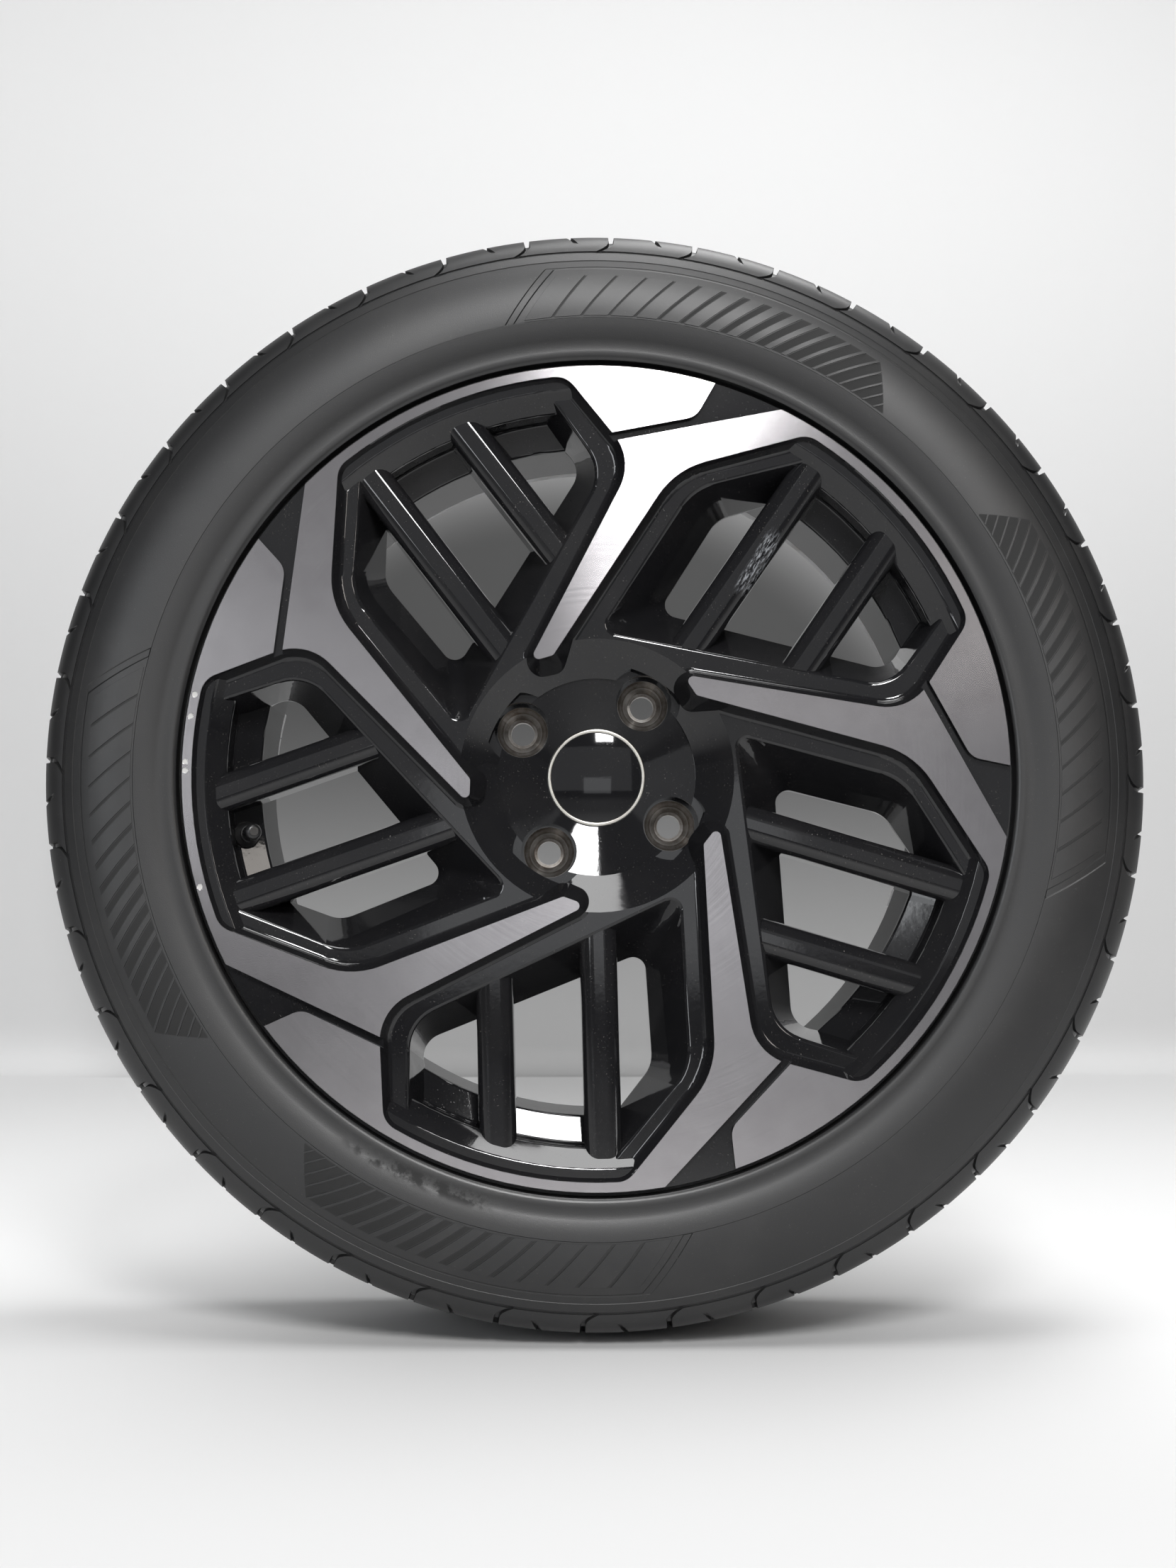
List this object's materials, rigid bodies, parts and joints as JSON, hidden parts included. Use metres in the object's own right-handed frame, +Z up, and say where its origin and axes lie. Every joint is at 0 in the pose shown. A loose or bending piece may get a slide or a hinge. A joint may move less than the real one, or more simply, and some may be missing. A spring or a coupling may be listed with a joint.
{
  "type": "wheel and tyre assembly",
  "caption": "Car road wheel: face-turned black alloy with slanted arms and barred windows, road tyre, snap-in centre cap, rubber valve and stick-on balance weights.",
  "frame": {"origin": "centre of the wheel, on its axis in the rim's middle plane", "axes": "+Y along the wheel's axis towards the car, so the outer face looks along -Y; +Z up, +X to the right of a person who looks at the outer face"},
  "size_m": [0.6819, 0.2008, 0.6819],
  "materials": {
    "alloy_wheel": "gloss black paint, turned face in clear lacquer",
    "tyre": "matt, dusty near the rim",
    "centre_cap": "gloss black",
    "centre_cap_ring": "satin light grey",
    "spring_steel": "plain wire",
    "valve_rubber": "matt black",
    "brass": "plain turned",
    "seal_rubber": "soft red rubber",
    "valve_cap": "black, moulded",
    "balance_weight": "bright coated metal",
    "weight_tape": "dark foam tape"
  },
  "bodies": {
    "wheel": {"alloy_wheel": "alloy_wheel", "tyre": "tyre", "centre_cap": "centre_cap", "centre_cap_ring": "centre_cap_ring", "centre_cap_spring": "spring_steel", "valve_body": "valve_rubber", "valve_stem": "brass", "valve_core": "brass", "valve_core_seal": "seal_rubber", "valve_spring": "spring_steel", "balance_weight_left": "balance_weight", "weight_tape_left": "weight_tape", "balance_weight_right": "balance_weight", "weight_tape_right": "weight_tape"},
    "valve_pin": {"valve_pin": "brass"},
    "valve_cap_seal": {"valve_cap_seal": "seal_rubber"},
    "valve_cap": {"valve_cap": "valve_cap"}
  },
  "joints": [
    {"name": "valve_pin_press", "type": "slide", "parent": "wheel", "child": "valve_pin", "axis": [-0.3375, 0.9397, -0.0553], "range_m": [0, 0.0012], "stiffness_N_per_m": 1500, "springref_m": -0.0004, "deforming": ["valve_spring"]},
    {"name": "valve_cap_slide", "type": "slide", "parent": "wheel", "child": "valve_cap_seal", "axis": [0.3375, -0.9397, 0.0553], "range_m": [0, 0.00714]},
    {"name": "valve_cap_turn", "type": "hinge", "parent": "valve_cap_seal", "child": "valve_cap", "pos_m": [-0.21662, -0.05209, -0.03547], "axis": [0.3375, -0.9397, 0.0553], "range_deg": [0, 3240]}
  ],
  "couplings": [
    {"joint": "valve_cap_turn", "follows": "valve_cap_slide", "rad_per_m": 7913.3}
  ]
}
